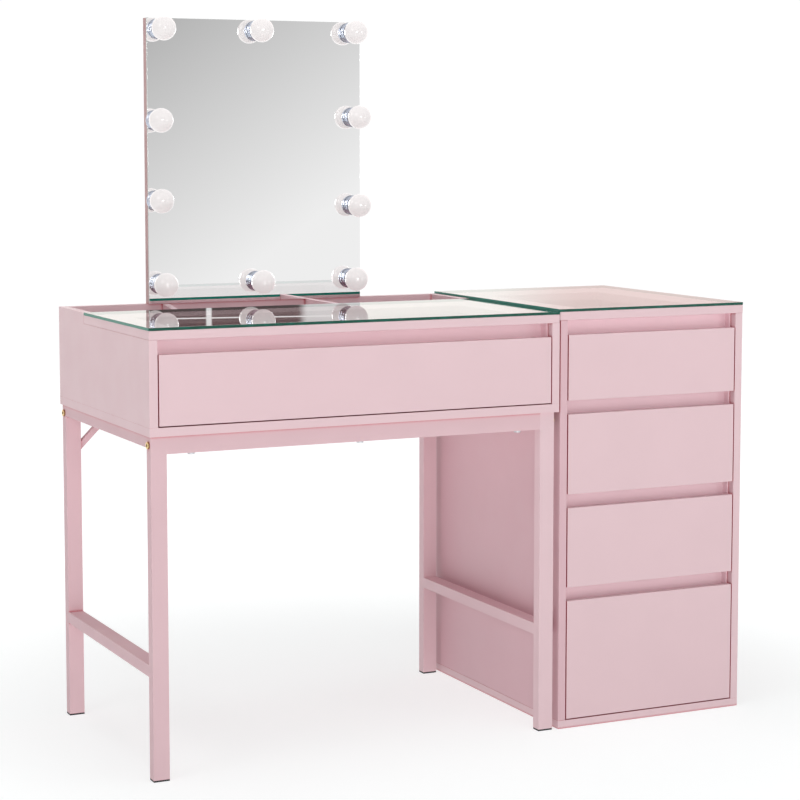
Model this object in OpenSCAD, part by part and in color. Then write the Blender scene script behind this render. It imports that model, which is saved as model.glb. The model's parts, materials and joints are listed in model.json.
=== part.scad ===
// Vanity table: a desk on a steel leg frame, a four-drawer chest on its right, and a
// mirror ringed by ten globe bulbs that stands on the desk's back panel.
//
// +X is the right-hand side of someone who faces the front, the front faces -Y, +Z is up.
// The modules measure X from the desk's left side, Y from the desk's front and Z from the
// floor. placed() then moves them so that the origin is the middle of the footprint.

/* [Boards and glass] */
// Thickness of every board
board_t = 15; // [12:1:16]
// Thickness of the two glass tops
glass_t = 5; // [4:1:6]
// Gap beside and below a drawer front
front_gap = 2; // [1.5:0.5:3]
// Finger gap above each drawer front
finger_gap = 25; // [22:1:28]

/* [Desk] */
// Width of the desk
desk_w = 770; // [768:1:820]
// Depth of the desk
desk_d = 500; // [480:5:520]
// Height of the desk's glass top
desk_h = 760; // [740:5:780]
// Height of the desk case, from its underside to the glass top
case_h = 180; // [175:5:200]
// Depth of the glass-topped part, in front of the open trough
top_d = 350; // [345:1:360]
// Width of the top frame beside its window
desk_strip = 65; // [50:5:80]
// Width of the top frame behind its window
desk_rear_strip = 85; // [60:5:100]
// Distance from the desk's front to its recess rail
desk_rail_y = 36; // [32:1:40]
// Trough divider's distance from the desk's left side
divider_x = 484; // [400:1:560]
// Trough gusset's distance from the desk's left side
gusset_x = 195; // [120:1:260]
// Thickness of the trough divider and gusset
divider_t = 12; // [8:1:15]
// Drop of the gusset's top edge at its front end
gusset_drop = 18; // [0:1:30]

/* [Leg frame] */
// Width of the leg frame over its side frames
frame_w = 759; // [700:1:764]
// Width of the leg and stretcher tubes, seen from the front
leg_w = 28; // [24:1:34]
// Depth of the leg tubes, seen from the side
leg_t = 20; // [20:1:25]
// Wall thickness of all the tubes
tube_wall = 1.5; // [1.2:0.1:2]
// Height of the side rails and stretchers
rail_h = 20; // [18:1:25]
// Height of the front and rear aprons
apron_h = 30; // [28:1:36]
// Height of the stretchers' top face
stretcher_z = 195; // [120:5:260]
// Height of the bolts that join the side frames to the aprons
bolt_z = 565; // [562:1:568]
// Diameter of the bolt heads
bolt_head_d = 12; // [10:1:14]

/* [Chest] */
// Width of the chest's top
chest_w = 390; // [360:5:450]
// Depth of the chest
chest_d = 503; // [500:1:520]
// Height of the chest's glass top
chest_h = 764; // [762:1:768]
// Gap between the desk and the chest's top
chest_gap = 2; // [1:1:5]
// Distance of the chest's front behind the desk's front
chest_y = 2; // [1:1:4]
// Amount by which the chest's top passes its sides
top_overhang = 1; // [0:0.5:2]
// Width of the chest's top frame beside its window
chest_strip = 75; // [50:5:90]
// Width of the chest's top frame in front of its window
chest_front_strip = 70; // [50:5:90]
// Width of the chest's top frame behind its window
chest_rear_strip = 100; // [60:5:120]
// Distance from the chest's front to its recess rails
chest_rail_y = 30; // [26:1:36]

/* [Drawers] */
// Heights of the drawer fronts: desk, then the chest's from top to bottom
front_h = [118, 118, 145, 145, 217]; // [110:1:230]
// Depth of the desk drawer's box
desk_box_d = 300; // [280:5:305]
// Depth of the chest drawers' boxes
chest_box_d = 430; // [400:5:440]
// Thickness of the drawer walls
wall_t = 12; // [10:1:14]
// Thickness of the drawer bottoms
bottom_t = 5; // [3:1:6]
// Length of the desk drawer's slides
desk_slide_l = 300; // [280:5:300]
// Length of the chest drawers' slides
chest_slide_l = 400; // [350:5:420]

/* [Mirror] */
// Width of the mirror
mirror_w = 430; // [420:5:460]
// Height of the mirror
mirror_h = 528; // [500:4:560]
// Distance from the desk's left side to the mirror
mirror_x = 168; // [160:1:180]
// Thickness of the mirror with its board
mirror_t = 20; // [20:1:24]
// Thickness of the mirror's glass
mirror_glass_t = 4; // [3:1:5]
// Diameter of the globe bulbs
bulb_d = 45; // [40:1:50]
// Distance from the mirror's glass to the bulbs' centres
bulb_reach = 32; // [30:1:36]
// Diameter of the sockets' rings
socket_d = 38; // [34:1:40]

/* [Hidden] */
$fn = 64;
// Overshoot of a cut beyond the face that it opens
cut = 1;

// Desk levels
case_z = desk_h - case_h;
floor_z = case_z + board_t;
desk_frame_z = desk_h - glass_t - board_t;
trough_d = desk_d - board_t - top_d;

// Chest levels and places
chest_x = desk_w + chest_gap;
carcass_x = chest_x + top_overhang;
carcass_w = chest_w - 2 * top_overhang;
chest_frame_z = chest_h - glass_t - board_t;
chest_rear = chest_y + chest_d;

// Overall footprint
total_w = chest_x + chest_w;
total_d = chest_rear;

// Leg frame
leg_inset = 3;
right_leg_x = leg_inset + frame_w - leg_w;
frame_mid = leg_inset + frame_w / 2;
leg_y = [5, desk_d - 5 - leg_t];
foot_t = 3;
plug_h = 10;
plug_play = 0.2;
apron_end_t = 3;
apron_l = frame_w - 2 * leg_w;
bolt_d = 6;
bolt_clear_d = 6.5;
bolt_grip = 10;
hex_d = 6;
hex_depth = 1.5;
mount_screw_x = [[77, 385, 693], [125, 385, 645]];
mount_screws = [for (row = [0, 1]) for (x = mount_screw_x[row]) [x, leg_y[row] + leg_t / 2]];
mount_screw_d = 5;
mount_screw_head_h = 3.5;
mount_screw_grip = 10;
brace_z = 495;
brace_foot_h = 15;
brace_d = 12;

// Drawers, as [left inner face, right inner face, front's Y, front's lower edge, box depth,
// slide length, recess rail's distance from the front, rail's upper edge]
drawer_names = ["desk", "top", "upper", "lower", "bottom"];
chest_in = [carcass_x + board_t, carcass_x + carcass_w - board_t];
bottom_front_z = board_t + front_gap;
lower_front_z = bottom_front_z + front_h[4] + finger_gap;
upper_front_z = lower_front_z + front_h[3] + finger_gap;
top_front_z = upper_front_z + front_h[2] + finger_gap;
rail_lap = 3;
drawers = [
    [board_t, desk_w - board_t, 0, floor_z + front_gap, desk_box_d, desk_slide_l,
        desk_rail_y, desk_frame_z],
    [chest_in[0], chest_in[1], chest_y, top_front_z, chest_box_d, chest_slide_l,
        chest_rail_y, chest_frame_z],
    [chest_in[0], chest_in[1], chest_y, upper_front_z, chest_box_d, chest_slide_l,
        chest_rail_y, top_front_z + rail_lap],
    [chest_in[0], chest_in[1], chest_y, lower_front_z, chest_box_d, chest_slide_l,
        chest_rail_y, upper_front_z + rail_lap],
    [chest_in[0], chest_in[1], chest_y, bottom_front_z, chest_box_d, chest_slide_l,
        chest_rail_y, lower_front_z + rail_lap]
];

// Drawer box: its gaps to the front's edges, and the groove that holds its bottom
side_play = 12.5;
box_lift = 8;
box_drop = 17;
groove_depth = 5;
groove_z = 8;

// Recess rails
rail_drop = 12;
rail_t = 12;
return_t = 3;
return_y = board_t + 1;

// Drawer slides: three nested channels with their centre line above the box's lower edge
slide_z = 40;
slide_back = 3;
sheet_t = 1.2;
outer_h = 35;
outer_reach = 9.5;
middle_h = 31;
middle_x = [2, 10.6];
inner_h = 26.6;
inner_reach = 5.1;
slide_hole_d = 4.5;

// Mirror
mirror_z = desk_h;
mirror_y = desk_d - mirror_t;
glass_back = mirror_y + mirror_glass_t;
mirror_mid = mirror_x + mirror_w / 2;
corner_bulb_x = 193;
side_bulb_x = 200;
top_bulb_z = 508;
bottom_bulb_z = 37;
left_bulb_z = [192, 340];
right_bulb_z = [178, 347];
bulb_spots = concat(
    [for (x = [-corner_bulb_x, 0, corner_bulb_x]) [x, top_bulb_z]],
    [for (x = [-corner_bulb_x, 0, corner_bulb_x]) [x, bottom_bulb_z]],
    [for (z = left_bulb_z) [-side_bulb_x, z]],
    [for (z = right_bulb_z) [side_bulb_x, z]]
);
socket_ring_h = 12;
socket_floor = 3;
socket_bore_d = 25;
socket_body_d = 22;
glass_hole_d = 23;
socket_depth = 14;
cap_d = 13.6;
cap_bore_d = 14.4;
neck_d = 24;
neck_y = [12, 4];
cap_end = 12;
cover_inset = 20;
cover_t = 3;
cover_play = 0.5;
channel_w = 55;
loom_inset = 30;
loom_w = 6;
loom_t = 2.4;
strap_x = [97, 332];
strap_w = 30;
strap_z = [-70, 95];
strap_t = 3;
strap_screw_z = [-55, -20, 12, 80];
strap_screw_d = 4;
strap_screw_head_d = 8;
strap_screw_head_h = 2;
strap_screw_grip = 12;
inlet_spot = [210, 230];
inlet_flange_d = 14;
inlet_flange_t = 1.5;
inlet_body_d = 11;
inlet_body_l = 9;
inlet_bore_d = 5.5;
inlet_bore_l = 8;
inlet_pin_d = 2;
inlet_pin_l = 6;

pink = [0.87, 0.76, 0.79];
steel = [0.72, 0.73, 0.75];

// Moves a shape to the model's own origin, in the middle of the footprint
module placed() {
    translate([-total_w / 2, -total_d / 2, 0]) children();
}

// Extrudes an outline drawn in Y and Z over a width w along X
module along_x(x, w) {
    translate([x, 0, 0]) rotate([90, 0, 90]) linear_extrude(w) children();
}

// A cylinder along X
module rod_x(x, y, z, d, l) {
    translate([x, y, z]) rotate([0, 90, 0]) cylinder(d = d, h = l);
}

// A cylinder along Y, from y towards the rear
module rod_y(x, y, z, d, l) {
    translate([x, y, z]) rotate([-90, 0, 0]) cylinder(d = d, h = l);
}

// ---- Desk case ----

// Side panel, cut away at the top front where the glass-topped frame lies on it
module desk_side(x) {
    color(pink) placed() along_x(x, board_t) polygon([
        [0, floor_z], [desk_d, floor_z], [desk_d, desk_h], [top_d, desk_h],
        [top_d, desk_frame_z], [0, desk_frame_z]
    ]);
}

module desk_back_panel() {
    color(pink) placed() difference() {
        translate([board_t, desk_d - board_t, floor_z])
            cube([desk_w - 2 * board_t, board_t, desk_h - floor_z]);
        strap_screw_shanks();
    }
}

module desk_bottom_panel() {
    color(pink) placed() difference() {
        translate([0, 0, case_z]) cube([desk_w, desk_d, board_t]);
        mount_screw_shanks();
    }
}

// Board with a rectangular window, which shows through the glass that lies on it
module window_frame(x, y, z, size, side, front, rear) {
    translate([x, y, z]) difference() {
        cube([size[0], size[1], board_t]);
        translate([side, front, -cut])
            cube([size[0] - 2 * side, size[1] - front - rear, board_t + 2 * cut]);
    }
}

module desk_top_frame() {
    color(pink) placed()
        window_frame(0, 0, desk_frame_z, [desk_w, top_d], desk_strip, desk_strip, desk_rear_strip);
}

module desk_glass_top() {
    color([0.75, 0.88, 0.85, 0.5]) placed()
        translate([0, 0, desk_h - glass_t]) cube([desk_w, top_d, glass_t]);
}

// Front wall of the open trough, under the rear edge of the top frame
module trough_wall() {
    color(pink) placed() translate([board_t, top_d - board_t, floor_z])
        cube([desk_w - 2 * board_t, board_t, desk_frame_z - floor_z]);
}

module trough_divider() {
    color(pink) placed() translate([divider_x, top_d, floor_z])
        cube([divider_t, trough_d, desk_h - floor_z]);
}

// Second divider, whose top edge slopes down towards the front
module trough_gusset() {
    rear_y = top_d + trough_d;
    color(pink) placed() along_x(gusset_x, divider_t) polygon([
        [top_d, floor_z], [rear_y, floor_z], [rear_y, desk_h], [top_d, desk_h - gusset_drop]
    ]);
}

// ---- Chest ----

module chest_side(x) {
    color(pink) placed() translate([x, chest_y, board_t])
        cube([board_t, chest_d, chest_frame_z - board_t]);
}

module chest_back_panel() {
    color(pink) placed() translate([chest_in[0], chest_rear - board_t, board_t])
        cube([chest_in[1] - chest_in[0], board_t, chest_frame_z - board_t]);
}

module chest_bottom_panel() {
    color(pink) placed() translate([carcass_x, chest_y, 0])
        cube([carcass_w, chest_d, board_t]);
}

module chest_top_frame() {
    color(pink) placed()
        window_frame(chest_x, chest_y, chest_frame_z, [chest_w, chest_d], chest_strip,
            chest_front_strip, chest_rear_strip);
}

module chest_glass_top() {
    color([0.75, 0.88, 0.85, 0.5]) placed()
        translate([chest_x, chest_y, chest_h - glass_t]) cube([chest_w, chest_d, glass_t]);
}

// Boards set back behind the finger gap of each drawer, with short returns at their ends
module recess_rails() {
    color(pink) placed() for (i = [0 : 4]) {
        d = drawers[i];
        rail_z = d[3] + front_h[i] - rail_drop;
        rail_height = d[7] - rail_z;
        return_l = d[6] - return_y;
        translate([d[0], d[2] + d[6], rail_z]) cube([d[1] - d[0], rail_t, rail_height]);
        for (x = [d[0], d[1] - return_t])
            translate([x, d[2] + return_y, rail_z]) cube([return_t, return_l, rail_height]);
    }
}

// ---- Leg frame ----

// Rectangular tube shape, or its hollow when shrink is the tube's wall
module tube(corner, size, shrink, open_axis) {
    inset = [for (a = [0 : 2]) a == open_axis ? -shrink : shrink];
    translate(corner + inset) cube(size - 2 * inset);
}

// The four tubes of a side frame, or their joined hollow
module side_frame_tubes(x, shrink) {
    leg_l = case_z - foot_t;
    between = leg_y[1] - leg_y[0] - leg_t;
    for (y = leg_y)
        translate([0, 0, shrink == 0 ? 0 : -shrink])
            tube([x, y, foot_t], [leg_w, leg_t, leg_l], shrink, -1);
    for (z = [case_z - rail_h, stretcher_z - rail_h])
        tube([x, leg_y[0] + leg_t, z], [leg_w, between, rail_h], shrink, 1);
}

// Welded side frame: two legs with a rail at the top and a low stretcher
module side_frame(x) {
    color(pink) placed() difference() {
        side_frame_tubes(x, 0);
        side_frame_tubes(x, tube_wall);
        for (y = leg_y) {
            translate([x + tube_wall, y + tube_wall, foot_t - cut])
                cube([leg_w - 2 * tube_wall, leg_t - 2 * tube_wall, plug_h]);
            rod_x(x - cut, y + leg_t / 2, bolt_z, bolt_clear_d, leg_w + 2 * cut);
        }
    }
}

module apron(y) {
    x = leg_inset + leg_w;
    z = case_z - apron_h;
    color(pink) placed() difference() {
        translate([x, y, z]) cube([apron_l, leg_t, apron_h]);
        translate([x + apron_end_t, y + tube_wall, z + tube_wall])
            cube([apron_l - 2 * apron_end_t, leg_t - 2 * tube_wall, apron_h - 2 * tube_wall]);
        rod_x(x - cut, y + leg_t / 2, bolt_z, bolt_d, apron_l + 2 * cut);
        mount_screw_shanks();
    }
}

// Slanted struts from the rear legs up to the rear apron
module corner_braces() {
    x = leg_inset + leg_w;
    rise = case_z - apron_h - brace_z;
    y = leg_y[1] + (leg_t + brace_d) / 2;
    color(pink) placed() for (flip = [0, 1])
        translate([flip * 2 * frame_mid, y, 0]) mirror([flip, 0, 0]) rotate([90, 0, 0])
            linear_extrude(brace_d) polygon([
                [x, brace_z], [x + rise, brace_z + rise],
                [x + rise - brace_foot_h, brace_z + rise], [x, brace_z + brace_foot_h]
            ]);
}

// Bolts that clamp the legs to the ends of the aprons
module apron_bolts() {
    shank_l = leg_w + bolt_grip;
    color([0.78, 0.6, 0.3]) placed() for (flip = [0, 1], y = leg_y)
        translate([flip * 2 * frame_mid, 0, 0]) mirror([flip, 0, 0]) difference() {
            union() {
                rod_x(0, y + leg_t / 2, bolt_z, bolt_head_d, leg_inset);
                rod_x(leg_inset, y + leg_t / 2, bolt_z, bolt_d, shank_l);
            }
            translate([-cut, y + leg_t / 2, bolt_z]) rotate([0, 90, 0])
                cylinder(d = hex_d, h = hex_depth + cut, $fn = 6);
        }
}

// Shanks of the screws that hold the desk case down on the aprons
module mount_screw_shanks() {
    z = case_z - apron_h;
    for (spot = mount_screws)
        translate([spot[0], spot[1], z])
            cylinder(d = mount_screw_d, h = apron_h + mount_screw_grip);
}

module desk_mount_screws() {
    z = case_z - apron_h - mount_screw_head_h;
    color(steel) placed() union() {
        mount_screw_shanks();
        for (spot = mount_screws)
            translate([spot[0], spot[1], z])
                cylinder(d = bolt_head_d, h = mount_screw_head_h);
    }
}

// Plastic plugs in the lower ends of the legs
module feet() {
    plug = tube_wall + plug_play;
    color([0.12, 0.11, 0.11]) placed()
        for (x = [leg_inset, right_leg_x], y = leg_y) {
            translate([x, y, 0]) cube([leg_w, leg_t, foot_t]);
            translate([x + plug, y + plug, 0])
                cube([leg_w - 2 * plug, leg_t - 2 * plug, plug_h]);
        }
}

// ---- Drawers ----

module drawer_front(i) {
    d = drawers[i];
    color(pink) placed() translate([d[0] + front_gap, d[2], d[3]])
        cube([d[1] - d[0] - 2 * front_gap, board_t, front_h[i]]);
}

// Drawer bottom, whose edges sit in grooves in the walls
module bottom_slab(i) {
    d = drawers[i];
    inset = side_play + wall_t - groove_depth;
    translate([d[0] + inset, d[2] + board_t + wall_t - groove_depth, d[3] + box_lift + groove_z])
        cube([
            d[1] - d[0] - 2 * inset,
            d[4] - 2 * (wall_t - groove_depth),
            bottom_t
        ]);
}

module drawer_bottom(i) {
    color([0.9, 0.86, 0.84]) placed() bottom_slab(i);
}

// Two long walls with an inner front and a rear wall between them
module drawer_walls(i) {
    d = drawers[i];
    box_h = front_h[i] - box_lift - box_drop;
    box_w = d[1] - d[0] - 2 * side_play;
    color([0.93, 0.88, 0.87]) placed() difference() {
        translate([d[0] + side_play, d[2] + board_t, d[3] + box_lift]) {
            for (x = [0, box_w - wall_t])
                translate([x, 0, 0]) cube([wall_t, d[4], box_h]);
            for (y = [0, d[4] - wall_t])
                translate([wall_t, y, 0]) cube([box_w - 2 * wall_t, wall_t, box_h]);
        }
        bottom_slab(i);
    }
}

// ---- Drawer slides ----

// Puts a slide member, drawn from the case's side towards the drawer, on both sides
module both_slides(i) {
    d = drawers[i];
    z = d[3] + box_lift + slide_z;
    y = d[2] + board_t + slide_back;
    translate([d[0], y, z]) children();
    translate([d[1], y, z]) mirror([1, 0, 0]) children();
}

// Flat web with two flanges, and three screw holes in the web
module channel(web_x, flange_x, h, l) {
    difference() {
        union() {
            translate([web_x, 0, -h / 2]) cube([sheet_t, l, h]);
            for (z = [-h / 2, h / 2 - sheet_t])
                translate([flange_x[0], 0, z]) cube([flange_x[1] - flange_x[0], l, sheet_t]);
        }
        for (t = [0.12, 0.5, 0.88])
            rod_x(web_x - cut, t * l, 0, slide_hole_d, sheet_t + 2 * cut);
    }
}

module slide_outers() {
    color(steel) placed() for (i = [0 : 4])
        both_slides(i) channel(0, [0, outer_reach], outer_h, drawers[i][5]);
}

module slide_middles(i) {
    web_x = (middle_x[0] + middle_x[1] - sheet_t) / 2;
    color(steel) placed()
        both_slides(i) channel(web_x, middle_x, middle_h, drawers[i][5]);
}

module slide_inners(i) {
    flange_x = [side_play - inner_reach, side_play];
    color(steel) placed()
        both_slides(i) channel(side_play - sheet_t, flange_x, inner_h, drawers[i][5]);
}

// ---- Mirror ----

// Repeats a shape at each bulb's place on the mirror's front face
module at_bulbs() {
    for (spot = bulb_spots)
        translate([mirror_mid + spot[0], mirror_y, mirror_z + spot[1]]) children();
}

// Rectangle on the mirror, inset from all its edges, from depth y towards the rear
module mirror_slab(inset, y, t) {
    translate([mirror_x + inset, y, mirror_z + inset])
        cube([mirror_w - 2 * inset, t, mirror_h - 2 * inset]);
}

module mirror_glass() {
    color([0.8, 0.84, 0.86]) placed() difference() {
        mirror_slab(0, mirror_y, mirror_glass_t);
        at_bulbs() rod_y(0, -cut, 0, glass_hole_d, mirror_glass_t + 2 * cut);
    }
}

// Backboard, with a rebate for the rear cover and a wiring channel behind the sockets
module mirror_backboard() {
    rebate_y = desk_d - cover_t;
    channel_t = cover_t + loom_t;
    color(pink) placed() difference() {
        mirror_slab(0, glass_back, mirror_t - mirror_glass_t);
        mirror_slab(cover_inset, rebate_y, cover_t + cut);
        difference() {
            mirror_slab(cover_inset, desk_d - channel_t, channel_t);
            mirror_slab(channel_w, desk_d - channel_t - cut, channel_t + 2 * cut);
        }
        at_bulbs() rod_y(0, 0, 0, socket_body_d, socket_depth);
        strap_screw_shanks();
        inlet_hole();
    }
}

module mirror_rear_cover() {
    color([0.86, 0.78, 0.8]) placed() difference() {
        mirror_slab(cover_inset + cover_play, desk_d - cover_t, cover_t);
        strap_screw_shanks();
        inlet_hole();
    }
}

// Flat cable that runs round the channel and feeds every socket, with a branch to the inlet
module wiring_loom() {
    y = desk_d - cover_t - loom_t;
    color([0.15, 0.15, 0.16]) placed() difference() {
        mirror_slab(loom_inset, y, loom_t);
        mirror_slab(loom_inset + loom_w, y - cut, loom_t + 2 * cut);
        at_bulbs() rod_y(0, 0, 0, socket_body_d, socket_depth);
    }
}

// Ring in front of the glass, with a threaded body through the glass into the board
module bulb_sockets() {
    color([0.85, 0.86, 0.88]) placed() at_bulbs() difference() {
        union() {
            rod_y(0, -socket_ring_h, 0, socket_d, socket_ring_h);
            rod_y(0, 0, 0, socket_body_d, socket_depth);
        }
        rod_y(0, -socket_ring_h - cut, 0, socket_bore_d, socket_ring_h - socket_floor + cut);
        rod_y(0, -socket_floor - cut, 0, cap_bore_d, socket_depth + cut);
    }
}

// Globe with its neck and screw cap
module bulbs() {
    color([0.97, 0.95, 0.93]) placed() at_bulbs() union() {
        translate([0, -bulb_reach, 0]) sphere(d = bulb_d);
        rod_y(0, -neck_y[0] - neck_y[1], 0, neck_d, neck_y[0]);
        rod_y(0, -neck_y[1], 0, cap_d, cap_end);
    }
}

// Shanks of the screws that hold the straps to the desk's back panel and the mirror
module strap_screw_shanks() {
    for (x = strap_x, z = strap_screw_z)
        rod_y(mirror_x + x, desk_d - strap_screw_grip, mirror_z + z, strap_screw_d,
            strap_screw_grip + strap_t);
}

module mirror_straps() {
    color(steel) placed() difference() {
        for (x = strap_x)
            translate([mirror_x + x - strap_w / 2, desk_d, mirror_z + strap_z[0]])
                cube([strap_w, strap_t, strap_z[1] - strap_z[0]]);
        strap_screw_shanks();
    }
}

module strap_screws() {
    color(steel) placed() union() {
        strap_screw_shanks();
        for (x = strap_x, z = strap_screw_z)
            rod_y(mirror_x + x, desk_d + strap_t, mirror_z + z, strap_screw_head_d,
                strap_screw_head_h);
    }
}

// Hole in the board and the cover for the power inlet's body
module inlet_hole() {
    rod_y(mirror_x + inlet_spot[0], desk_d - inlet_body_l, mirror_z + inlet_spot[1],
        inlet_body_d, inlet_body_l + cut);
}

// Barrel socket for the bulbs' supply, with a flange on the rear cover
module power_inlet() {
    x = mirror_x + inlet_spot[0];
    z = mirror_z + inlet_spot[1];
    rear = desk_d + inlet_flange_t;
    color([0.12, 0.12, 0.13]) placed() {
        difference() {
            union() {
                rod_y(x, desk_d - inlet_body_l, z, inlet_body_d, inlet_body_l);
                rod_y(x, desk_d, z, inlet_flange_d, inlet_flange_t);
            }
            rod_y(x, rear - inlet_bore_l, z, inlet_bore_d, inlet_bore_l + cut);
        }
        rod_y(x, rear - inlet_bore_l - cut, z, inlet_pin_d, inlet_pin_l + cut);
    }
}

desk_side(0);  // desk_side_left
desk_side(desk_w - board_t);  // desk_side_right
desk_back_panel();
desk_bottom_panel();
desk_top_frame();
desk_glass_top();
trough_wall();
trough_divider();
trough_gusset();
chest_side(carcass_x);  // chest_side_left
chest_side(chest_in[1]);  // chest_side_right
chest_back_panel();
chest_bottom_panel();
chest_top_frame();
chest_glass_top();
recess_rails();
side_frame(leg_inset);  // left_side_frame
side_frame(right_leg_x);  // right_side_frame
apron(leg_y[0]);  // front_apron
apron(leg_y[1]);  // rear_apron
corner_braces();
apron_bolts();
desk_mount_screws();
feet();
for (i = [0 : 4]) {
    drawer_front(i);
    drawer_walls(i);
    drawer_bottom(i);
    slide_middles(i);
    slide_inners(i);
}
slide_outers();
mirror_glass();
mirror_backboard();
mirror_rear_cover();
wiring_loom();
bulb_sockets();
bulbs();
mirror_straps();
strap_screws();
power_inlet();
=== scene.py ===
import json
import math

import bmesh
import bpy
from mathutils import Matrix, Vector

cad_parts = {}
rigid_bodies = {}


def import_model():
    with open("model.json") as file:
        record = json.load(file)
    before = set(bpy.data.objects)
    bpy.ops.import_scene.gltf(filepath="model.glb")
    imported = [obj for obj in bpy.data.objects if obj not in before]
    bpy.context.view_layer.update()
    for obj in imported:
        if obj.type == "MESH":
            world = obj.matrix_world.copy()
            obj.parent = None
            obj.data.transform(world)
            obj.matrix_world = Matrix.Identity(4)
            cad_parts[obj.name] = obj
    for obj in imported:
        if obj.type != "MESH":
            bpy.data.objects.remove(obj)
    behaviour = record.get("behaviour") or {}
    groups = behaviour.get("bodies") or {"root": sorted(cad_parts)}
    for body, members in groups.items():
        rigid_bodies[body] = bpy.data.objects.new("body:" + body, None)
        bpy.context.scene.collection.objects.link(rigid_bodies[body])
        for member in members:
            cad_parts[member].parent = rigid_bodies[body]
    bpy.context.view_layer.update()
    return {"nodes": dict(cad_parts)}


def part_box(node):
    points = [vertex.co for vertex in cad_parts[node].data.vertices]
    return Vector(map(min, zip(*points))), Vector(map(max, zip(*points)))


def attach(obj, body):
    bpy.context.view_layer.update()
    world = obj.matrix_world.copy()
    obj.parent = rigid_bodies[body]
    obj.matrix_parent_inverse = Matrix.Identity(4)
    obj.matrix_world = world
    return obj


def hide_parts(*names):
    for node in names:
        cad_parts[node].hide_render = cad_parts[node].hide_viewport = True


# A pink vanity table: a desk on steel legs with a drawer chest beside it, glass tops and an
# upright mirror with globe bulbs. Metres; +Z up, front faces -Y, +X towards the chest.

for leftover in list(bpy.data.objects):
    bpy.data.objects.remove(leftover, do_unlink=True)
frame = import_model()
scene = bpy.context.scene
MM = 0.001
WELD_DISTANCE = 0.01 * MM

# ---------------------------------------------------------------- colours (linear)
# Foil-covered board. Painted shade and light, where pink surfaces light each other: the chest's
# side in the kneehole takes a darker, deeper pink, and the rails at the back of the finger gaps
# take a brighter pink that glows faintly.
PINK_BOARD = (0.800, 0.580, 0.614)
PINK_BOARD_WORN = (0.92, 0.72, 0.74)
# Painted shade: gaps and seams in the pink board and tube darken to this deep red.
PINK_CREVICE_SHADE = (0.58, 0.10, 0.13)
PINK_SHADED_BOARD = (0.740, 0.485, 0.530)
PINK_RECESS_PAINTED_LIGHT = (0.950, 0.690, 0.745)
PINK_RECESS_PAINTED_GLOW = (1.0, 0.68, 0.73)
PINK_EDGE_BAND = (0.50, 0.295, 0.30)
# Painted steel tube, and a lighter tone for the side frame that stands in the kneehole: painted light
# that lifts the shade of the desk above it.
PINK_METAL = (0.765, 0.530, 0.566)
PINK_METAL_WORN = (0.88, 0.68, 0.70)
PINK_METAL_KNEEHOLE_PAINTED_LIGHT = (0.805, 0.590, 0.625)
# Inside the drawers: cream foil in the desk, pink in the chest.
FOIL_BOARD = (0.87, 0.81, 0.77)
FOIL_BOARD_WORN = (0.90, 0.85, 0.82)
FOIL_BOARD_PINK = (0.84, 0.64, 0.65)
FOIL_BOARD_PINK_WORN = (0.90, 0.74, 0.74)
# Glass and mirror.
GLASS_TINT = (0.978, 0.992, 0.986)
GLASS_EDGE = (0.002, 0.060, 0.038)
# Painted light: the glass ends and rear edges turn this brighter green.
GLASS_EDGE_PAINTED_LIGHT = (0.01, 0.26, 0.19)
GLASS_IOR = 1.52
MIRROR_SILVER = (0.955, 0.955, 0.955)
MIRROR_RIM = (0.55, 0.62, 0.60)
MIRROR_RIM_PALE = (0.70, 0.75, 0.73)
# Bulbs, sockets and fittings.
OPAL = (0.37, 0.35, 0.35)
# Painted light: the globes glow faintly, which lifts their shaded sides like light scattered in opal
# glass.
OPAL_PAINTED_GLOW = (1.0, 0.96, 0.955)
# Painted reflection and shade: the chrome leans blue for the dark bluish surroundings it reflects,
# and its grooves darken to deep blue.
CHROME_PAINTED_REFLECTION = (0.56, 0.60, 0.70)
CHROME_CREVICE_SHADE = (0.015, 0.025, 0.055)
BRASS = (0.78, 0.56, 0.24)
BRASS_WORN = (0.9, 0.72, 0.38)
# Painted shade: hollows in the brass darken to this near black.
BRASS_CREVICE_SHADE = (0.05, 0.03, 0.012)
ZINC = (0.58, 0.59, 0.61)
ZINC_WORN = (0.75, 0.75, 0.76)
BLACK_PLASTIC = (0.014, 0.014, 0.015)
BLACK_PLASTIC_WORN = (0.05, 0.05, 0.05)
RUBBER = (0.018, 0.018, 0.019)
# Floor: its colour, and its own glow under the table and further out, with the distances
# from the middle, in metres, between which the glow grows.
FLOOR_WHITE = (0.425, 0.455, 0.453)
FLOOR_GLOW = 0.665
FLOOR_GLOW_FAR = 0.95
FLOOR_GLOW_GROWS = (0.55, 1.8)

# ---------------------------------------------------------------- patterns
# The share of open sky in a full crevice, and where a crevice begins.
CREVICE_CLOSED = 0.40
CREVICE_OPEN = 0.97
# How far a normal bends on a full edge, and the size of the gaps in the wear, in metres.
EDGE_SOFTNESS = 0.10
WEAR_GAPS = 0.006
WEAR_LEAST = 0.35
# Noise values between which clouds, smears, streaks and wear go from none to full.
CLOUD_SPAN = (0.3, 0.7)
SMEAR_SPAN = (0.45, 0.75)
STREAK_SPAN = (0.35, 0.75)
WEAR_SPAN = (0.35, 0.62)
# The part of a normal along one axis, from which a face counts as broad or as an end.
FACE_TILT = (0.80, 0.95)
END_TILT = (0.6, 0.9)


# ---------------------------------------------------------------- shader helpers
def add(tree, kind, inputs=None, **settings):
    """Adds a shader node. An input is a value, or an output socket to link."""
    node = tree.nodes.new(kind)
    for key, value in settings.items():
        setattr(node, key, value)
    for key, value in (inputs or {}).items():
        if isinstance(value, bpy.types.NodeSocket):
            tree.links.new(value, node.inputs[key])
        else:
            node.inputs[key].default_value = value
    return node


def maths(tree, operation, a, b=0.0):
    """One Math node; returns its output."""
    return add(tree, "ShaderNodeMath", {0: a, 1: b}, operation=operation).outputs[0]


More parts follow.
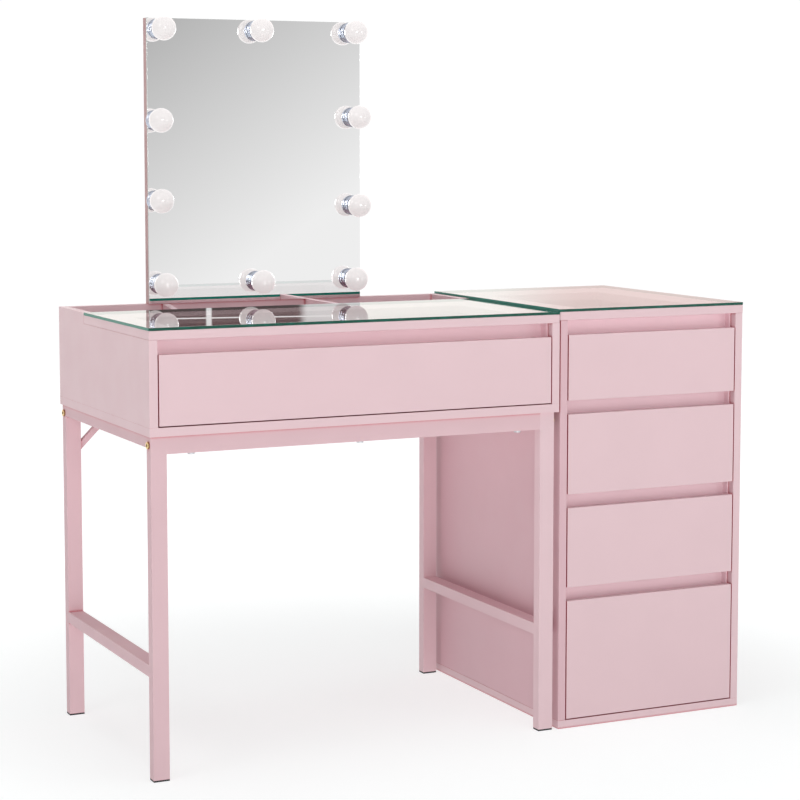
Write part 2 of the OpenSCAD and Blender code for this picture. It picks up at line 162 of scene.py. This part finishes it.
def ramp(tree, value, low, high, out_low=0.0, out_high=1.0, smooth=True):
    """Maps value from low..high to out_low..out_high, clamped."""
    kind = "SMOOTHSTEP" if smooth else "LINEAR"
    sockets = {0: value, 1: low, 2: high, 3: out_low, 4: out_high}
    return add(tree, "ShaderNodeMapRange", sockets, interpolation_type=kind).outputs[0]


def blend_colour(tree, factor, a, b):
    """Mixes two colours, each a linear triple or a socket."""
    node = add(tree, "ShaderNodeMix", data_type="RGBA")
    for index, value in ((0, factor), (6, a), (7, b)):
        if isinstance(value, bpy.types.NodeSocket):
            tree.links.new(value, node.inputs[index])
        elif index:
            node.inputs[index].default_value = (*value, 1.0)
        else:
            node.inputs[index].default_value = value
    return node.outputs[2]


def noise(tree, coordinates, size, detail=3.0, stretch=(1, 1, 1)):
    """Noise whose features are about `size` metres across, stretched along the axes."""
    scale = tuple(1.0 / (size * s) for s in stretch)
    placed = add(tree, "ShaderNodeMapping", {"Vector": coordinates, "Scale": scale}).outputs[0]
    sockets = {"Vector": placed, "Scale": 1.0, "Detail": detail}
    return add(tree, "ShaderNodeTexNoise", sockets).outputs[0]


def new_material(name):
    """An empty node material and its tree."""
    material = bpy.data.materials.new(name)
    material.use_nodes = True
    material.node_tree.nodes.clear()
    return material, material.node_tree


def output(tree, shader):
    """Ends a material at its surface output."""
    add(tree, "ShaderNodeOutputMaterial", {"Surface": shader})


def edge_mask(tree, coordinates, radius):
    """1 on edges rounded within `radius`, broken up by a fine noise."""
    rounded = add(tree, "ShaderNodeBevel", {"Radius": radius}, samples=4).outputs[0]
    straight = add(tree, "ShaderNodeNewGeometry").outputs["True Normal"]
    dot = add(tree, "ShaderNodeVectorMath", {0: rounded, 1: straight}, operation="DOT_PRODUCT")
    edge = ramp(tree, dot.outputs["Value"], 1.0 - EDGE_SOFTNESS, 1.0, 1.0, 0.0)
    patches = noise(tree, coordinates, WEAR_GAPS, 4.0)
    broken = ramp(tree, patches, *WEAR_SPAN, WEAR_LEAST, 1.0)
    return maths(tree, "MULTIPLY", edge, broken)


def crevice_shade_mask(tree, reach):
    """Painted shade: 1 deep inside gaps and corners narrower than about `reach`, 0 on open surfaces.
    """
    sky = add(tree, "ShaderNodeAmbientOcclusion", {"Distance": reach}, samples=4).outputs["AO"]
    return ramp(tree, sky, CREVICE_CLOSED, CREVICE_OPEN, 1.0, 0.0)


def finish_material(name, colour, worn=None, crevice=None, crevice_reach=0.005,
                    rough=0.4, rough_spread=0.08, mottle=0.03, mottle_size=0.12,
                    grain=0.0012, grain_depth=0.00002, stretch=(1, 1, 1),
                    wear=0.5, wear_radius=0.0012, **principled):
    """A solid finish: cloudy colour variation, fine grain bump, patchy gloss and worn edges.

    Lengths are in metres. Where crevice is given, gaps and inner corners take that colour as painted
    shade.
    Any other argument is a socket of the Principled shader.
    """
    material, tree = new_material(name)
    spot = add(tree, "ShaderNodeTexCoord").outputs["Object"]
    cloud = noise(tree, spot, mottle_size, 4.0)
    speck = noise(tree, spot, grain, 2.0, stretch)
    low = tuple(c * (1.0 - mottle) for c in colour)
    high = tuple(min(1.0, c * (1.0 + mottle)) for c in colour)
    tone = blend_colour(tree, ramp(tree, cloud, *CLOUD_SPAN), low, high)
    patches = noise(tree, spot, mottle_size * 0.35, 3.0)
    roughness = ramp(tree, patches, *CLOUD_SPAN, rough - rough_spread, rough + rough_spread)
    if worn:
        mask = maths(tree, "MULTIPLY", edge_mask(tree, spot, wear_radius), wear)
        tone = blend_colour(tree, mask, tone, worn)
    # Painted shade: gaps and inner corners darken to the crevice colour.
    if crevice:
        tone = blend_colour(tree, crevice_shade_mask(tree, crevice_reach), tone, crevice)
    relief = {"Height": speck, "Distance": grain_depth, "Strength": 1.0}
    bump = add(tree, "ShaderNodeBump", relief).outputs[0]
    sockets = {"Base Color": tone, "Roughness": roughness, "Normal": bump}
    sockets.update(principled)
    output(tree, add(tree, "ShaderNodeBsdfPrincipled", sockets).outputs[0])
    return material


def glass_sheet_material(name):
    """Clear glass whose broad faces transmit and reflect, and whose ground edges are deep green.

    A ray from outside meets the reflection of both faces at once, so the far face only lets
    it out. Ends and rear edges get painted light, a brighter green than the front edge.
    """
    material, tree = new_material(name)
    coordinates = add(tree, "ShaderNodeTexCoord")
    geometry = add(tree, "ShaderNodeNewGeometry")
    across, along, up = add(tree, "ShaderNodeSeparateXYZ", {0: coordinates.outputs["Normal"]}).outputs
    broad = ramp(tree, maths(tree, "ABSOLUTE", up), *FACE_TILT)
    smear = noise(tree, coordinates.outputs["Object"], 0.05, 4.0)
    clear = add(tree, "ShaderNodeBsdfTransparent", {"Color": (*GLASS_TINT, 1.0)}).outputs[0]
    gloss_rough = ramp(tree, smear, *SMEAR_SPAN, 0.0, 0.002)
    ripple = noise(tree, coordinates.outputs["Object"], 0.25, 1.0)
    wave = add(tree, "ShaderNodeBump", {"Height": ripple, "Distance": 0.000003}).outputs[0]
    gloss = add(tree, "ShaderNodeBsdfGlossy", {"Roughness": gloss_rough, "Normal": wave}).outputs[0]
    single = add(tree, "ShaderNodeFresnel", {"IOR": GLASS_IOR}).outputs[0]
    twice = maths(tree, "MULTIPLY", single, 2.0)
    both_faces = maths(tree, "DIVIDE", twice, maths(tree, "ADD", single, 1.0))
    outside = maths(tree, "SUBTRACT", 1.0, geometry.outputs["Backfacing"])
    mirror_share = maths(tree, "MULTIPLY", both_faces, outside)
    sheet = add(tree, "ShaderNodeMixShader", {0: mirror_share, 1: clear, 2: gloss}).outputs[0]
    # Faint streaks vary the edge green at random; the ends and rear edges get painted light.
    streak = noise(tree, coordinates.outputs["Object"], 0.002, 3.0, (8, 8, 1))
    bright = ramp(tree, streak, *STREAK_SPAN, 0.0, 0.35)
    side_end = ramp(tree, maths(tree, "ABSOLUTE", across), *END_TILT, 0.0, 0.7)
    rear_end = ramp(tree, along, *END_TILT, 0.0, 1.0)
    bright = maths(tree, "MAXIMUM", maths(tree, "MAXIMUM", bright, side_end), rear_end)
    edge_colour = blend_colour(tree, bright, GLASS_EDGE, GLASS_EDGE_PAINTED_LIGHT)
    edge_sockets = {"Base Color": edge_colour, "Roughness": 0.30, "Specular IOR Level": 0.3}
    edge = add(tree, "ShaderNodeBsdfPrincipled", edge_sockets).outputs[0]
    output(tree, add(tree, "ShaderNodeMixShader", {0: broad, 1: edge, 2: sheet}).outputs[0])
    return material


def mirror_material(name):
    """Silvered glass: a mirror seen from the front, pale polished glass along its edges."""
    material, tree = new_material(name)
    coordinates = add(tree, "ShaderNodeTexCoord")
    front = add(tree, "ShaderNodeSeparateXYZ", {0: coordinates.outputs["Normal"]}).outputs[1]
    face = ramp(tree, maths(tree, "ABSOLUTE", front), *FACE_TILT)
    smear = noise(tree, coordinates.outputs["Object"], 0.07, 4.0)
    haze = ramp(tree, smear, *SMEAR_SPAN, 0.0, 0.02)
    silver = {"Base Color": (*MIRROR_SILVER, 1.0), "Metallic": 1.0, "Roughness": haze}
    reflecting = add(tree, "ShaderNodeBsdfPrincipled", silver).outputs[0]
    speck = noise(tree, coordinates.outputs["Object"], 0.003, 2.0)
    rim_colour = blend_colour(tree, speck, MIRROR_RIM, MIRROR_RIM_PALE)
    polished = {"Base Color": rim_colour, "Roughness": 0.15}
    rim = add(tree, "ShaderNodeBsdfPrincipled", polished).outputs[0]
    output(tree, add(tree, "ShaderNodeMixShader", {0: face, 1: rim, 2: reflecting}).outputs[0])
    return material


def floor_material(name):
    """Pale matt studio floor, lit from below like a light table, so shadows on it stay faint."""
    material, tree = new_material(name)
    spot = add(tree, "ShaderNodeTexCoord").outputs["Object"]
    darker = tuple(c * 0.985 for c in FLOOR_WHITE)
    tone = blend_colour(tree, noise(tree, spot, 0.4, 3.0), darker, FLOOR_WHITE)
    matt = add(tree, "ShaderNodeBsdfDiffuse", {"Color": tone}).outputs[0]
    away = add(tree, "ShaderNodeVectorMath", {0: spot}, operation="LENGTH").outputs["Value"]
    level = ramp(tree, away, *FLOOR_GLOW_GROWS, FLOOR_GLOW, FLOOR_GLOW_FAR)
    glow = add(tree, "ShaderNodeEmission", {"Strength": level}).outputs[0]
    output(tree, add(tree, "ShaderNodeAddShader", {0: matt, 1: glow}).outputs[0])
    return material


BOARD_FINISH = {"rough": 0.42, "rough_spread": 0.05, "mottle": 0.010, "grain": 0.0016,
                "grain_depth": 0.00001, "wear": 0.30, "Specular IOR Level": 0.35}
TUBE_FINISH = {"rough": 0.55, "mottle": 0.015, "grain": 0.0007, "grain_depth": 0.00002,
               "wear": 0.35, "Specular IOR Level": 0.18}
DRAWER_FINISH = {"rough": 0.55, "mottle": 0.02, "mottle_size": 0.05, "grain": 0.0012,
                 "stretch": (20, 4, 1)}

MATERIALS = {
    "pink_board": finish_material(
        "pink_board", PINK_BOARD, PINK_BOARD_WORN, PINK_CREVICE_SHADE, **BOARD_FINISH),
    "pink_under_glass": finish_material(
        "pink_under_glass", PINK_BOARD, PINK_BOARD_WORN, **BOARD_FINISH),
    "pink_shaded_board": finish_material(
        "pink_shaded_board", PINK_SHADED_BOARD, PINK_BOARD_WORN, PINK_CREVICE_SHADE, **BOARD_FINISH),
    "pink_edge_band": finish_material(
        "pink_edge_band", PINK_EDGE_BAND, PINK_BOARD, PINK_CREVICE_SHADE, rough=0.42, mottle=0.02,
        grain=0.0016, grain_depth=0.000012, wear=0.35),
    # Painted light: the rails at the back of the finger gaps are a brighter pink with a faint glow.
    "pink_recess_painted_light": finish_material(
        "pink_recess_painted_light", PINK_RECESS_PAINTED_LIGHT, PINK_BOARD_WORN, rough=0.5, mottle=0.01, grain=0.0016,
        grain_depth=0.000012, wear=0.2,
        **{"Emission Color": (*PINK_RECESS_PAINTED_GLOW, 1.0), "Emission Strength": 0.062}),
    "drawer_board": finish_material(
        "drawer_board", FOIL_BOARD, FOIL_BOARD_WORN, **DRAWER_FINISH),
    "chest_drawer_board": finish_material(
        "chest_drawer_board", FOIL_BOARD_PINK, FOIL_BOARD_PINK_WORN, **DRAWER_FINISH),
    "pink_metal": finish_material(
        "pink_metal", PINK_METAL, PINK_METAL_WORN, PINK_CREVICE_SHADE, **TUBE_FINISH),
    # Painted light: the kneehole frame is a lighter pink than the other tubes.
    "pink_metal_kneehole_painted_light": finish_material(
        "pink_metal_kneehole_painted_light", PINK_METAL_KNEEHOLE_PAINTED_LIGHT, PINK_METAL_WORN, **TUBE_FINISH),
    "top_glass": glass_sheet_material("top_glass"),
    "mirror": mirror_material("mirror"),
    # Painted light: the globes glow, standing in for light scattered inside the opal glass.
    "bulb_globe": finish_material(
        "bulb_globe", OPAL, rough=0.05, rough_spread=0.012, mottle=0.008, mottle_size=0.01,
        grain=0.004, grain_depth=0.000004,
        **{"Emission Color": (*OPAL_PAINTED_GLOW, 1.0), "Emission Strength": 0.50}),
    # Painted shade: the socket's grooves darken to deep blue.
    "socket_chrome": finish_material(
        "socket_chrome", CHROME_PAINTED_REFLECTION, None, CHROME_CREVICE_SHADE, 0.006, rough=0.10, rough_spread=0.02,
        mottle=0.02, mottle_size=0.01, grain_depth=0.000003, Metallic=1.0),
    "brass": finish_material(
        "brass", BRASS, BRASS_WORN, BRASS_CREVICE_SHADE, 0.004, rough=0.22, rough_spread=0.08,
        mottle=0.08, mottle_size=0.004, grain=0.0004, wear_radius=0.0003, Metallic=1.0),
    "steel": finish_material(
        "steel", ZINC, ZINC_WORN, rough=0.36, rough_spread=0.1, mottle=0.08, mottle_size=0.02,
        grain=0.0004, stretch=(1, 30, 1), wear_radius=0.0004, Metallic=1.0),
    "black_plastic": finish_material(
        "black_plastic", BLACK_PLASTIC, BLACK_PLASTIC_WORN, rough=0.55, mottle=0.15,
        mottle_size=0.01, grain=0.0006, grain_depth=0.00003, wear_radius=0.0005),
    "cable_rubber": finish_material(
        "cable_rubber", RUBBER, rough=0.65, mottle=0.15, mottle_size=0.01, grain=0.0005,
        grain_depth=0.00003),
}


# ---------------------------------------------------------------- CAD nodes: looks, soft edges
# Degrees: faces flatter than the first are merged, edges sharper than the second are rounded.
FLAT_ANGLE = 0.5
SHARP_ANGLE = 35


def soften(node, width, segments=2):
    """Rounds a CAD node's sharp edges with modifiers; its mesh stays as it is."""
    obj = frame["nodes"][node]
    weld = obj.modifiers.new("weld", "WELD")
    weld.merge_threshold = WELD_DISTANCE
    flat = obj.modifiers.new("flat", "DECIMATE")
    flat.decimate_type = "DISSOLVE"
    flat.angle_limit = math.radians(FLAT_ANGLE)
    bevel = obj.modifiers.new("bevel", "BEVEL")
    bevel.width = width
    bevel.segments = segments
    bevel.limit_method = "ANGLE"
    bevel.angle_limit = math.radians(SHARP_ANGLE)
    bevel.use_clamp_overlap = True
    normals = obj.modifiers.new("normals", "WEIGHTED_NORMAL")
    normals.keep_sharp = False
    normals.weight = 100


# Nodes whose look isn't the one of their material slot. The recess rails and the kneehole frame take
# painted light, the chest's left side painted shade.
SPECIAL_LOOKS = {
    "mirror_backboard": "pink_edge_band",
    "recess_rails": "pink_recess_painted_light",
    "chest_side_left": "pink_shaded_board",
    "right_side_frame": "pink_metal_kneehole_painted_light",
    "desk_top_frame": "pink_under_glass",
    "chest_top_frame": "pink_under_glass",
}
for drawer in ("top", "upper", "lower", "bottom"):
    SPECIAL_LOOKS[f"{drawer}_drawer_walls"] = "chest_drawer_board"
    SPECIAL_LOOKS[f"{drawer}_drawer_bottom"] = "chest_drawer_board"

for name, obj in frame["nodes"].items():
    for index, slot in enumerate(obj.data.materials):
        look = SPECIAL_LOOKS.get(name, slot.name.split(".")[0])
        obj.data.materials[index] = MATERIALS[look]

# Widths of the rounded edges.
BOARD_EDGE = 1.0 * MM
TUBE_EDGE = 1.3 * MM
SMALL_EDGE = 0.35 * MM
GLASS_CHAMFER = 0.3 * MM
BOARD_LOOKS = ("pink_board", "pink_under_glass", "pink_shaded_board", "pink_edge_band",
               "pink_recess_painted_light", "drawer_board", "chest_drawer_board")
TUBE_NODES = ("left_side_frame", "right_side_frame", "front_apron", "rear_apron")
GLASS_NODES = ("desk_glass_top", "chest_glass_top")
ROUND_NODES = ("bulbs", "bulb_sockets", "wiring_loom")
for name, obj in frame["nodes"].items():
    if name in TUBE_NODES:
        soften(name, TUBE_EDGE, 3)
    elif name in GLASS_NODES:
        soften(name, GLASS_CHAMFER)
    elif obj.data.materials[0].name in BOARD_LOOKS:
        soften(name, BOARD_EDGE)
    elif name not in ROUND_NODES:
        soften(name, SMALL_EDGE)


# ---------------------------------------------------------------- bulbs and sockets, turned
TURNED_STEPS = 48
TURNED_SHARP_ANGLE = 50


def islands(node):
    """The boxes of a CAD node's separate solids, as (low, high) corners."""
    mesh = bmesh.new()
    mesh.from_mesh(frame["nodes"][node].data)
    bmesh.ops.remove_doubles(mesh, verts=mesh.verts, dist=WELD_DISTANCE)
    waiting = set(mesh.verts)
    boxes = []
    while waiting:
        group = [waiting.pop()]
        for vert in group:
            for edge in vert.link_edges:
                other = edge.other_vert(vert)
                if other in waiting:
                    waiting.discard(other)
                    group.append(other)
        low = Vector(min(v.co[k] for v in group) for k in range(3))
        high = Vector(max(v.co[k] for v in group) for k in range(3))
        boxes.append((low, high))
    mesh.free()
    return sorted(boxes, key=lambda box: tuple(round(c, 4) for c in box[0]))


def turned(name, profile, centres, slot, node):
    """One piece of equal turned parts; the profile is (radius, distance before the mirror)."""
    mesh = bmesh.new()
    for centre in centres:
        rings = []
        for radius, ahead in profile:
            if radius == 0.0:
                rings.append([mesh.verts.new((centre.x, centre.y - ahead, centre.z))])
                continue
            ring = []
            for step in range(TURNED_STEPS):
                turn = 2.0 * math.pi * step / TURNED_STEPS
                x = centre.x + radius * math.cos(turn)
                z = centre.z + radius * math.sin(turn)
                ring.append(mesh.verts.new((x, centre.y - ahead, z)))
            rings.append(ring)
        for near, far in zip(rings, rings[1:]):
            for step in range(TURNED_STEPS):
                after = (step + 1) % TURNED_STEPS
                if len(near) == 1:
                    mesh.faces.new((near[0], far[step], far[after]))
                elif len(far) == 1:
                    mesh.faces.new((near[after], near[step], far[0]))
                else:
                    mesh.faces.new((near[after], near[step], far[step], far[after]))
    bmesh.ops.recalc_face_normals(mesh, faces=mesh.faces)
    data = bpy.data.meshes.new(name)
    mesh.to_mesh(data)
    mesh.free()
    data.polygons.foreach_set("use_smooth", [True] * len(data.polygons))
    data.set_sharp_from_angle(angle=math.radians(TURNED_SHARP_ANGLE))
    data.materials.append(MATERIALS[slot])
    piece = bpy.data.objects.new(name, data)
    scene.collection.objects.link(piece)
    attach(piece, "root")
    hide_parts(node)
    return piece


mirror_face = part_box("mirror_glass")[0].y
socket_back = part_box("bulb_sockets")[1].y - mirror_face
globes = islands("bulbs")
globe_radius = (globes[0][1].x - globes[0][0].x) / 2
globe_ahead = mirror_face - (globes[0][0].y + globe_radius)
places = []
for low, high in globes:
    places.append(Vector(((low.x + high.x) / 2, mirror_face, (low.z + high.z) / 2)))

# Radius and distance in front of the mirror, from the flange to the hollow round the neck.
SOCKET_PROFILE_MM = (
    (11.0, 0.0), (18.6, 0.0), (19.0, 0.4), (19.0, 3.2), (18.5, 4.2), (17.2, 4.8),
    (16.7, 5.6), (16.9, 6.6), (18.0, 7.3), (18.7, 8.4), (18.8, 10.0), (18.3, 11.4),
    (17.2, 12.0), (15.6, 11.8), (14.6, 10.6), (14.2, 9.0), (0.0, 9.0))
SOCKET_TUBE_RADIUS = 11.0 * MM
socket_profile = [(0.0, -socket_back), (SOCKET_TUBE_RADIUS, -socket_back)]
socket_profile += [(radius * MM, ahead * MM) for radius, ahead in SOCKET_PROFILE_MM]
turned("bulb_sockets_turned", socket_profile, places, "socket_chrome", "bulb_sockets")

NECK_RADIUS = 13.0 * MM
NECK_START = 9.6 * MM
NECK_TAPER = 0.97
GLOBE_STEPS = 24
neck_turn = math.pi - math.asin(NECK_RADIUS / globe_radius)
globe_profile = []
for step in range(GLOBE_STEPS + 1):
    turn = neck_turn * step / GLOBE_STEPS
    radius = globe_radius * math.sin(turn)
    globe_profile.append((radius, globe_ahead + globe_radius * math.cos(turn)))
globe_profile += [(NECK_RADIUS * NECK_TAPER, NECK_START), (0.0, NECK_START)]
turned("bulb_globes_turned", globe_profile, places, "bulb_globe", "bulbs")


# ---------------------------------------------------------------- floor and world light
FLOOR_HALF = 6.0


def square_floor():
    """A square floor at Z 0, out to FLOOR_HALF metres on each side."""
    mesh = bpy.data.meshes.new("floor")
    half = FLOOR_HALF
    corners = [(-half, -half, 0), (half, -half, 0), (half, half, 0), (-half, half, 0)]
    mesh.from_pydata(corners, [], [(0, 1, 2, 3)])
    floor = bpy.data.objects.new("floor", mesh)
    scene.collection.objects.link(floor)
    mesh.materials.append(floor_material("floor"))


# The world differs by kind of ray. The camera sees plain white. Surfaces are lit evenly, with
# more from the front. Reflections see a room: a grey gradient in front, a dark wall above it
# and a bright backdrop all round. Azimuth is in degrees, 0 straight ahead of the table and
# growing towards +X. Elevation is in degrees above the horizon. A pair of values says where
# a change starts and ends.
CAMERA_WHITE = (1.02, 1.02, 1.02)
AMBIENT = 0.22
FRONT_BOOST = 1.76
FRONT_FOCUS = 14.0
LEFT_BOOST = 0.05
LEFT_FOCUS = 3.0
# The grey gradient that the mirror shows: its level at one point, its slopes per degree and
# its darkest and brightest.
ROOM_AZIMUTH = 19.0
ROOM_ELEVATION = 3.0
ROOM_LEVEL = 0.455
ROOM_SIDE_SLOPE = 0.21 / 5.5
ROOM_FALL_SLOPE = 0.388 / 7.4
ROOM_DARKEST = 0.25
ROOM_WHITE = 0.895
RAIL_LIGHT = 1.10
RAIL_ELEVATION = (3.15, 3.55)
# The dark wall that the glass tops show, with a brighter alcove, a post and a batten.
DARK_WALL = (0.125, 0.082, 0.086)
WALL_ELEVATION = (4.36, 4.48)
ALCOVE_AZIMUTH = (22.9, 23.2)
ALCOVE_SHARE = 0.22
POST_AZIMUTH = 20.6
POST_HALF_WIDTH = 0.10
BATTEN_ELEVATION = 5.03
BATTEN_HALF_WIDTH = 0.022
BATTEN_SLOPE = 0.012
# Where the room ends: degrees to either side of its middle azimuth, and degrees up.
ROOM_MIDDLE = 12.0
ROOM_SIDE_ENDS = (22.0, 45.0)
ROOM_TOP_ENDS = (11.0, 24.0)
# The backdrop: brighter and tinted behind the table, with a tint of its own straight back.
# It changes with the part of the direction along +Y.
BACKDROP_FRONT = 0.95
BACKDROP = 1.27
BACKDROP_RISES = (0.0, 0.5)
TINT_RISES = (0.3, 0.8)
BACKDROP_WHITE = (1.0, 1.0, 1.0)
BACKDROP_TINT = (1.0, 0.99, 0.945)
BACKDROP_TINT_RIGHT = (0.875, 0.71, 0.685)
STRAIGHT_BACK = (149.5, 152.5)


def stripe(tree, value, middle, half_width):
    """1 at `middle`, falling to 0 at half_width on either side."""
    off = maths(tree, "ABSOLUTE", maths(tree, "SUBTRACT", value, middle))
    return ramp(tree, off, half_width * 0.4, half_width, 1.0, 0.0)


def mix(tree, factor, a, b):
    """Mixes two numbers, each a value or a socket."""
    return add(tree, "ShaderNodeMix", {0: factor, 2: a, 3: b}).outputs[0]


def inverse(tree, value):
    """1 less value."""
    return maths(tree, "SUBTRACT", 1.0, value)


def facing(tree, part, focus):
    """1 where the direction's part is -1, falling to 0 at its sides; focus narrows it."""
    toward = maths(tree, "MAXIMUM", maths(tree, "MULTIPLY", part, -1.0), 0.0)
    return maths(tree, "POWER", toward, focus)


def angles(tree, x, y, z):
    """The azimuth and elevation of a direction, in degrees."""
    degrees = math.degrees(1.0)
    turn = maths(tree, "ARCTAN2", x, maths(tree, "MULTIPLY", y, -1.0))
    azimuth = maths(tree, "MULTIPLY", turn, degrees)
    elevation = maths(tree, "MULTIPLY", maths(tree, "ARCSINE", z), degrees)
    return azimuth, elevation


def room_level(tree, azimuth, elevation):
    """Brightness of the grey gradient, with the bright rail light along its top."""
    aside = maths(tree, "SUBTRACT", azimuth, ROOM_AZIMUTH)
    below = maths(tree, "SUBTRACT", ROOM_ELEVATION, elevation)
    from_side = maths(tree, "MULTIPLY", aside, ROOM_SIDE_SLOPE)
    from_top = maths(tree, "MULTIPLY", below, ROOM_FALL_SLOPE)
    slope = maths(tree, "ADD", maths(tree, "ADD", from_side, from_top), ROOM_LEVEL)
    limits = (ROOM_DARKEST, ROOM_WHITE)
    gradient = ramp(tree, slope, *limits, *limits, smooth=False)
    return mix(tree, ramp(tree, elevation, *RAIL_ELEVATION), gradient, RAIL_LIGHT)


def wall_share(tree, azimuth, elevation):
    """1 on the dark wall, less in its alcove, 0 on its post and batten."""
    wall = ramp(tree, elevation, *WALL_ELEVATION)
    alcove = ramp(tree, azimuth, *ALCOVE_AZIMUTH, 1.0, ALCOVE_SHARE)
    post = stripe(tree, azimuth, POST_AZIMUTH, POST_HALF_WIDTH)
    slanted = maths(tree, "ADD", elevation, maths(tree, "MULTIPLY", azimuth, BATTEN_SLOPE))
    batten = stripe(tree, slanted, BATTEN_ELEVATION, BATTEN_HALF_WIDTH)
    plain = inverse(tree, maths(tree, "MAXIMUM", post, batten))
    return maths(tree, "MULTIPLY", maths(tree, "MULTIPLY", wall, alcove), plain)


def beyond_room(tree, azimuth, elevation):
    """0 inside the room in front, 1 beyond its sides and top."""
    aside = maths(tree, "ABSOLUTE", maths(tree, "SUBTRACT", azimuth, ROOM_MIDDLE))
    far_side = ramp(tree, aside, *ROOM_SIDE_ENDS)
    far_up = ramp(tree, elevation, *ROOM_TOP_ENDS)
    return maths(tree, "MAXIMUM", far_side, far_up)


def backdrop_tint(tree, azimuth, y):
    """White in front, tinted behind the table, with one tint straight back."""
    straight_back = ramp(tree, maths(tree, "ABSOLUTE", azimuth), *STRAIGHT_BACK)
    tint = blend_colour(tree, straight_back, BACKDROP_TINT_RIGHT, BACKDROP_TINT)
    return blend_colour(tree, ramp(tree, y, *TINT_RISES), BACKDROP_WHITE, tint)


def reflected_room(tree, x, y, z):
    """The colour that reflections see."""
    azimuth, elevation = angles(tree, x, y, z)
    beyond = beyond_room(tree, azimuth, elevation)
    backdrop = ramp(tree, y, *BACKDROP_RISES, BACKDROP_FRONT, BACKDROP)
    level = mix(tree, beyond, room_level(tree, azimuth, elevation), backdrop)
    tinted = {0: backdrop_tint(tree, azimuth, y), "Scale": level}
    lit = add(tree, "ShaderNodeVectorMath", tinted, operation="SCALE").outputs[0]
    wall = wall_share(tree, azimuth, elevation)
    shade = maths(tree, "MULTIPLY", wall, inverse(tree, beyond))
    return blend_colour(tree, shade, lit, DARK_WALL)


def even_light(tree, x, y):
    """The grey that lights the surfaces: ambient, with more from the front and the left."""
    front = maths(tree, "MULTIPLY", facing(tree, y, FRONT_FOCUS), FRONT_BOOST)
    left = maths(tree, "MULTIPLY", facing(tree, x, LEFT_FOCUS), LEFT_BOOST)
    level = maths(tree, "ADD", maths(tree, "ADD", front, left), AMBIENT)
    return add(tree, "ShaderNodeCombineXYZ", {0: level, 1: level, 2: level}).outputs[0]


def build_world():
    """A white studio whose reflections show a grey room in front."""
    world = bpy.data.worlds.new("studio")
    world.use_nodes = True
    tree = world.node_tree
    tree.nodes.clear()
    direction = add(tree, "ShaderNodeTexCoord").outputs["Generated"]
    x, y, z = add(tree, "ShaderNodeSeparateXYZ", {0: direction}).outputs
    ray = add(tree, "ShaderNodeLightPath").outputs
    room = reflected_room(tree, x, y, z)
    colour = blend_colour(tree, ray["Is Glossy Ray"], even_light(tree, x, y), room)
    colour = blend_colour(tree, ray["Is Camera Ray"], colour, CAMERA_WHITE)
    background = add(tree, "ShaderNodeBackground", {"Color": colour}).outputs[0]
    add(tree, "ShaderNodeOutputWorld", {"Surface": background})
    scene.world = world


square_floor()
build_world()


# ---------------------------------------------------------------- lamps
def area_light(name, place, target, side, power):
    """A square soft box at place that faces target."""
    data = bpy.data.lights.new(name, "AREA")
    data.shape = "RECTANGLE"
    data.size = side
    data.size_y = side
    data.energy = power
    light = bpy.data.objects.new(name, data)
    light.location = place
    light.rotation_mode = "QUATERNION"
    light.rotation_quaternion = (Vector(target) - Vector(place)).to_track_quat("-Z", "Y")
    light.visible_camera = False
    scene.collection.objects.link(light)
    return light


TABLE_MIDDLE = (0, 0, 0.6)
TABLE_LEFT = (-0.5, 0, 0.6)
MIRROR_MIDDLE = (-0.2, 0.2, 1.03)
overhead = area_light("overhead", (-0.2, -0.3, 3.4), TABLE_MIDDLE, side=2.4, power=46)
overhead.visible_glossy = False
glint = area_light("glint", (-0.75, -4.3, 1.45), MIRROR_MIDDLE, side=1.1, power=55)
glint.visible_diffuse = False
area_light("high_left", (-3.2, -1.4, 2.7), TABLE_LEFT, side=1.4, power=14.5)
area_light("sparkle_left", (-1.60, -3.95, 1.16), MIRROR_MIDDLE, side=0.5, power=11.0)
area_light("sparkle_right", (2.20, -3.20, 1.15), MIRROR_MIDDLE, side=0.5, power=9.0)


# ---------------------------------------------------------------- camera
# Degrees: yaw from +Y towards +X, pitch downwards. Lens and sensor in mm.
CAMERA_PLACE = (-1.7479, -3.6360, 1.0753)
CAMERA_YAW = 25.601
CAMERA_PITCH = 5.272
CAMERA_LENS = 98.605
CAMERA_SENSOR = 36.0
CAMERA_SHIFT = -0.08
lens = bpy.data.cameras.new("camera")
lens.sensor_width = CAMERA_SENSOR
lens.lens = CAMERA_LENS
lens.shift_y = CAMERA_SHIFT
camera = bpy.data.objects.new("camera", lens)
camera.location = CAMERA_PLACE
camera.rotation_euler = (math.radians(90.0 - CAMERA_PITCH), 0.0, -math.radians(CAMERA_YAW))
scene.collection.objects.link(camera)
scene.camera = camera
scene.view_settings.view_transform = "Standard"
